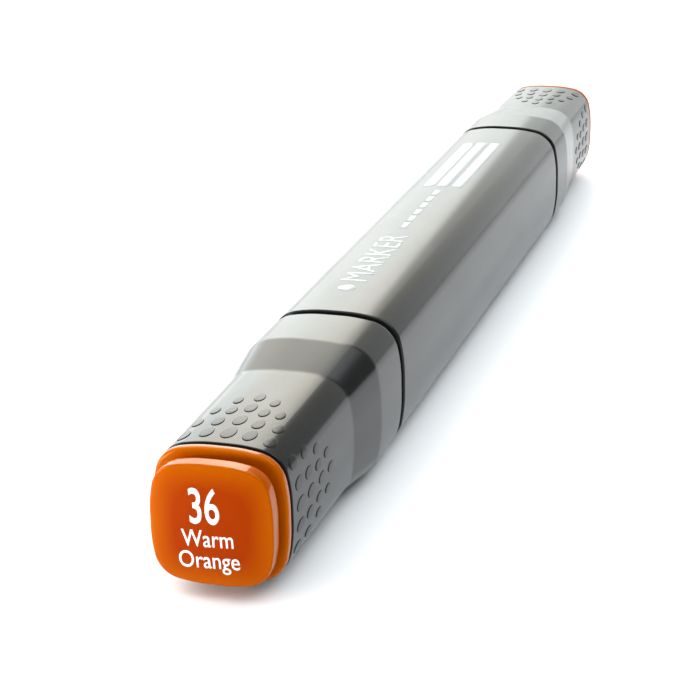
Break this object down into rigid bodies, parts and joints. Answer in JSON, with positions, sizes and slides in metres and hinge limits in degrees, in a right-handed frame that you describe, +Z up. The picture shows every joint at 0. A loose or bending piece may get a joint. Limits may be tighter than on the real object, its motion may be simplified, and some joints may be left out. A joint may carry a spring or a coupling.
{
  "type": "felt tip marker",
  "caption": "Twin-tip felt marker with a square barrel, pull-off caps with raised grip dots, coloured end plugs, a chisel nib and a bullet nib on one fibre reservoir.",
  "frame": {"origin": "bottom centre of the whole marker, on the side it lies on", "axes": "+X along the marker from the broad-nib end to the fine-nib end, +Z up"},
  "size_m": [0.158, 0.0152, 0.0152],
  "materials": {
    "grey_plastic": "semi-gloss dark grey moulded plastic with a faint satin grain",
    "grip_dots": "matt dark grey raised dots",
    "black_plastic": "matt black moulded plastic",
    "orange_plastic": "smooth semi-gloss orange moulded plastic",
    "nib_felt": "pressed felt soaked with orange ink",
    "ink_fibre": "bundled fibre soaked with orange ink",
    "white_print": "thin white pad-printed ink",
    "clear_film": "thin milky film"
  },
  "bodies": {
    "marker_body": {"barrel": "grey_plastic", "broad_nib_holder": "black_plastic", "fine_nib_holder": "black_plastic", "broad_chisel_nib": "nib_felt", "fine_bullet_nib": "nib_felt", "reservoir_core": "ink_fibre", "reservoir_film": "clear_film"},
    "broad_cap": {"broad_cap_shell": "grey_plastic", "broad_cap_liner": "black_plastic", "broad_end_plug": "orange_plastic", "broad_cap_grip_dots": "grip_dots"},
    "fine_cap": {"fine_cap_shell": "grey_plastic", "fine_cap_liner": "black_plastic", "fine_end_plug": "orange_plastic", "fine_cap_grip_dots": "grip_dots"}
  },
  "joints": [
    {"name": "broad_cap_pull", "type": "slide", "parent": "marker_body", "child": "broad_cap", "axis": [-1, 0, 0], "range_m": [0, 0.045]},
    {"name": "fine_cap_pull", "type": "slide", "parent": "marker_body", "child": "fine_cap", "axis": [1, 0, 0], "range_m": [0, 0.042]}
  ]
}
